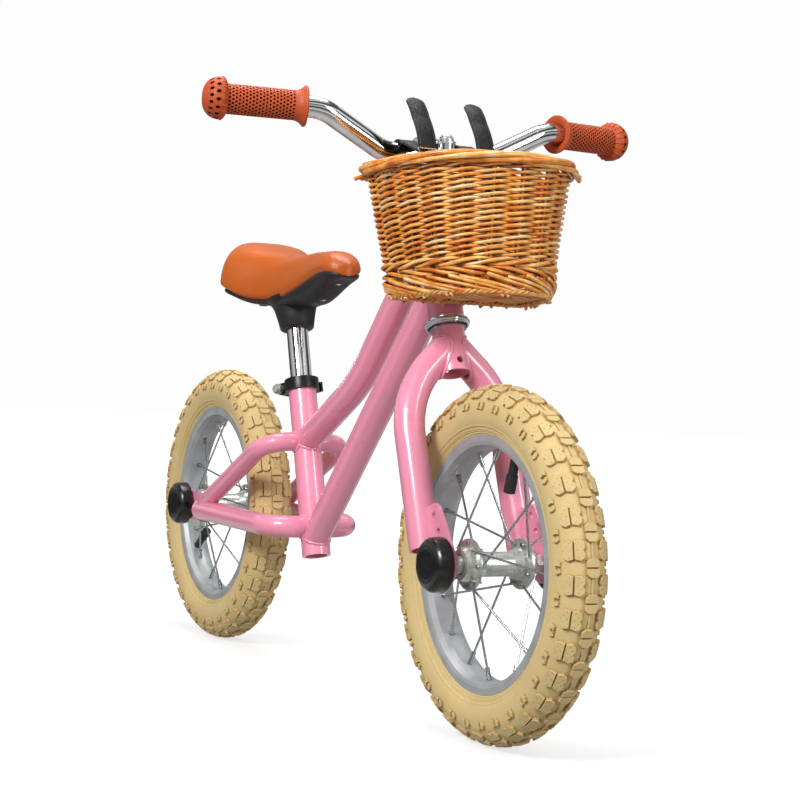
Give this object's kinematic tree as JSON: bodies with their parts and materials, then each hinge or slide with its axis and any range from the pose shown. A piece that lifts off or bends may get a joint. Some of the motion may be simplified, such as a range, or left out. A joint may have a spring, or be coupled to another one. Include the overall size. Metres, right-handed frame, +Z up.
{
  "type": "balance bike",
  "caption": "Child's pedal-less balance bike: curved steel frame, spoked pneumatic wheels, quill stem, swept handlebar with mushroom grips, quick-release saddle and a front wicker basket.",
  "frame": {"origin": "on the floor, midway along the bike's length and on its centre plane", "axes": "+X forward, +Y to the rider's left, +Z up"},
  "size_m": [0.912, 0.4316, 0.5551],
  "materials": {
    "frame_paint": "glossy pastel pink enamel over smooth weld beads",
    "chrome": "bright chrome plating",
    "zinc": "satin zinc-plated steel",
    "cap_black": "glossy moulded black plastic",
    "clamp_black": "black anodised clamp",
    "tyre_tan": "matte tan natural rubber",
    "tube_rubber": "black butyl rubber",
    "rim_alloy": "satin silver-grey alloy",
    "spoke_steel": "bright drawn wire",
    "ball_steel": "polished bearing steel",
    "grip_rubber": "matte terracotta rubber",
    "willow": "honey-coloured woven willow, lightly varnished",
    "strap_leather": "black leather with stitched edges",
    "saddle_cover": "smooth orange-brown padded leather cover",
    "base_plastic": "matte black moulded plastic"
  },
  "bodies": {
    "frame": {"seat_tube": "frame_paint", "top_tube": "frame_paint", "down_tube": "frame_paint", "head_tube": "frame_paint", "seat_stays": "frame_paint", "chain_stays": "frame_paint", "rear_dropouts": "frame_paint", "upper_headset_cup": "chrome", "lower_headset_cup": "chrome", "seat_clamp_collar": "clamp_black", "seat_clamp_skewer": "zinc", "seat_clamp_nut": "zinc", "clamp_cam_pin": "zinc", "rear_axle": "zinc", "rear_axle_cones": "zinc", "rear_axle_locknuts": "zinc", "rear_axle_nuts": "zinc", "rear_axle_caps": "cap_black"},
    "fork": {"steerer": "frame_paint", "fork_legs": "frame_paint", "fork_dropouts": "frame_paint", "crown_race": "chrome", "headset_balls": "ball_steel", "headset_top_race": "chrome", "headset_locknut": "chrome", "front_axle": "zinc", "front_axle_cones": "zinc", "front_axle_locknuts": "zinc", "front_axle_nuts": "zinc", "front_axle_caps": "cap_black"},
    "front_wheel": {"front_tyre": "tyre_tan", "front_inner_tube": "tube_rubber", "front_rim": "rim_alloy", "front_spokes": "spoke_steel", "front_nipples": "spoke_steel", "front_hub": "zinc", "front_hub_balls": "ball_steel", "front_valve": "tube_rubber"},
    "rear_wheel": {"rear_tyre": "tyre_tan", "rear_inner_tube": "tube_rubber", "rear_rim": "rim_alloy", "rear_spokes": "spoke_steel", "rear_nipples": "spoke_steel", "rear_hub": "zinc", "rear_hub_balls": "ball_steel", "rear_valve": "tube_rubber"},
    "stem": {"stem": "chrome", "stem_expander_bolt": "zinc", "stem_wedge": "zinc", "bar_clamp_bolt": "zinc"},
    "handlebar": {"handlebar": "chrome", "grips": "grip_rubber"},
    "basket": {"basket": "willow", "basket_straps": "strap_leather", "strap_buckles": "chrome"},
    "seat_post": {"seat_post": "chrome"},
    "saddle": {"saddle_base": "base_plastic", "saddle_pad": "saddle_cover", "saddle_screws": "zinc"},
    "clamp_lever": {"clamp_lever": "clamp_black"}
  },
  "joints": [
    {"name": "steering", "type": "hinge", "parent": "frame", "child": "fork", "pos_m": [0.18307, 0, 0.40165], "axis": [-0.3584, 0, 0.9336], "range_deg": [-70, 70]},
    {"name": "front_wheel_spin", "type": "hinge", "parent": "fork", "child": "front_wheel", "pos_m": [0.305, 0, 0.151], "axis": [0, 1, 0], "continuous": true},
    {"name": "rear_wheel_spin", "type": "hinge", "parent": "frame", "child": "rear_wheel", "pos_m": [-0.305, 0, 0.151], "axis": [0, 1, 0], "continuous": true},
    {"name": "stem_height", "type": "slide", "parent": "fork", "child": "stem", "axis": [-0.3584, 0, 0.9336], "range_m": [-0.005, 0.03]},
    {"name": "bar_angle", "type": "hinge", "parent": "stem", "child": "handlebar", "pos_m": [0.163, 0, 0.503], "axis": [0, 1, 0], "range_deg": [-20, 20]},
    {"name": "basket_swing", "type": "hinge", "parent": "stem", "child": "basket", "pos_m": [0.163, 0, 0.503], "axis": [0, -1, 0], "range_deg": [0, 30]},
    {"name": "seat_height", "type": "slide", "parent": "frame", "child": "seat_post", "axis": [-0.3007, 0, 0.9537], "range_m": [-0.04, 0.04]},
    {"name": "saddle_swivel", "type": "hinge", "parent": "seat_post", "child": "saddle", "pos_m": [-0.12607, 0, 0.35226], "axis": [-0.3007, 0, 0.9537], "range_deg": [-25, 25]},
    {"name": "clamp_lever_swing", "type": "hinge", "parent": "frame", "child": "clamp_lever", "pos_m": [-0.13259, 0.00366, 0.28101], "axis": [-0.3007, 0, 0.9537], "range_deg": [0, 110]}
  ]
}
